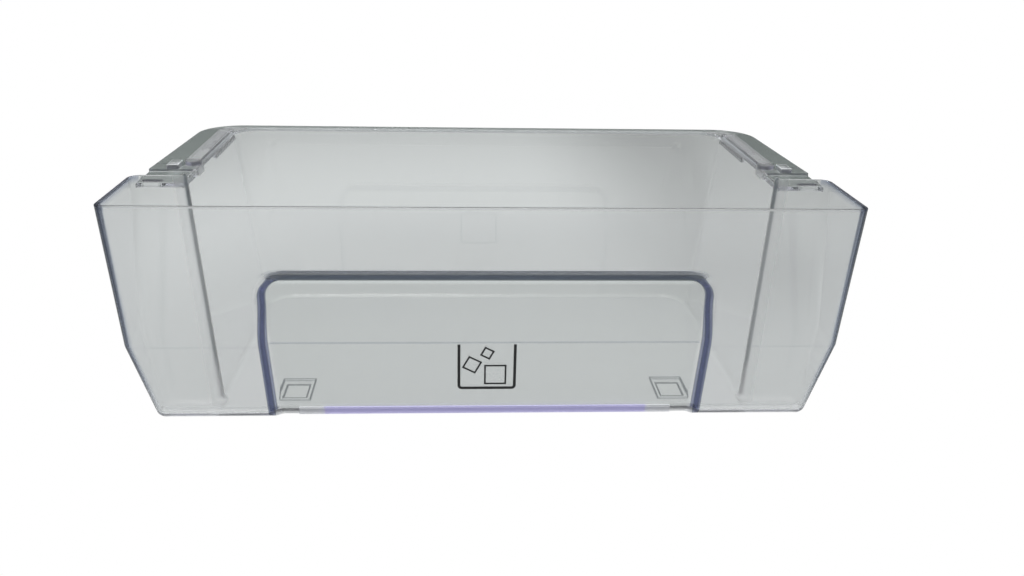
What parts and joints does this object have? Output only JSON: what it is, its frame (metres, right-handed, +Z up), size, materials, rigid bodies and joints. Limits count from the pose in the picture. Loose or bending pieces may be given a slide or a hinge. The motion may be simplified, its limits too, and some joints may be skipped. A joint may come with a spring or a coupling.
{
  "type": "ice drawer",
  "caption": "Clear open-top ice drawer with a wide front, an arched grip recess, a stepped-in tub and runner flanges on both sides.",
  "frame": {"origin": "on the ground under the middle of the drawer's box", "axes": "+X across the drawer to its right seen from the front, +Y from the front to the back, +Z up"},
  "size_m": [0.45, 0.245, 0.14],
  "materials": {
    "clear_plastic": "clear, polished, faint blue-violet edges",
    "black_print": "matt printed ink"
  },
  "bodies": {
    "root": {"front_panel": "clear_plastic", "grip_recess": "clear_plastic", "grip_lip": "clear_plastic", "floor": "clear_plastic", "rear_wall": "clear_plastic", "rear_lip": "clear_plastic", "left_wing": "clear_plastic", "left_shoulder": "clear_plastic", "left_tub_wall": "clear_plastic", "left_floor_pocket": "clear_plastic", "left_flange": "clear_plastic", "left_ledge": "clear_plastic", "left_stop_block": "clear_plastic", "left_bead": "clear_plastic", "left_rib_row": "clear_plastic", "right_wing": "clear_plastic", "right_shoulder": "clear_plastic", "right_tub_wall": "clear_plastic", "right_floor_pocket": "clear_plastic", "right_flange": "clear_plastic", "right_ledge": "clear_plastic", "right_stop_block": "clear_plastic", "right_bead": "clear_plastic", "right_rib_row": "clear_plastic", "ice_mark_tray": "black_print", "ice_mark_cube_large": "black_print", "ice_mark_cube_medium": "black_print", "ice_mark_cube_small": "black_print"}
  },
  "joints": []
}
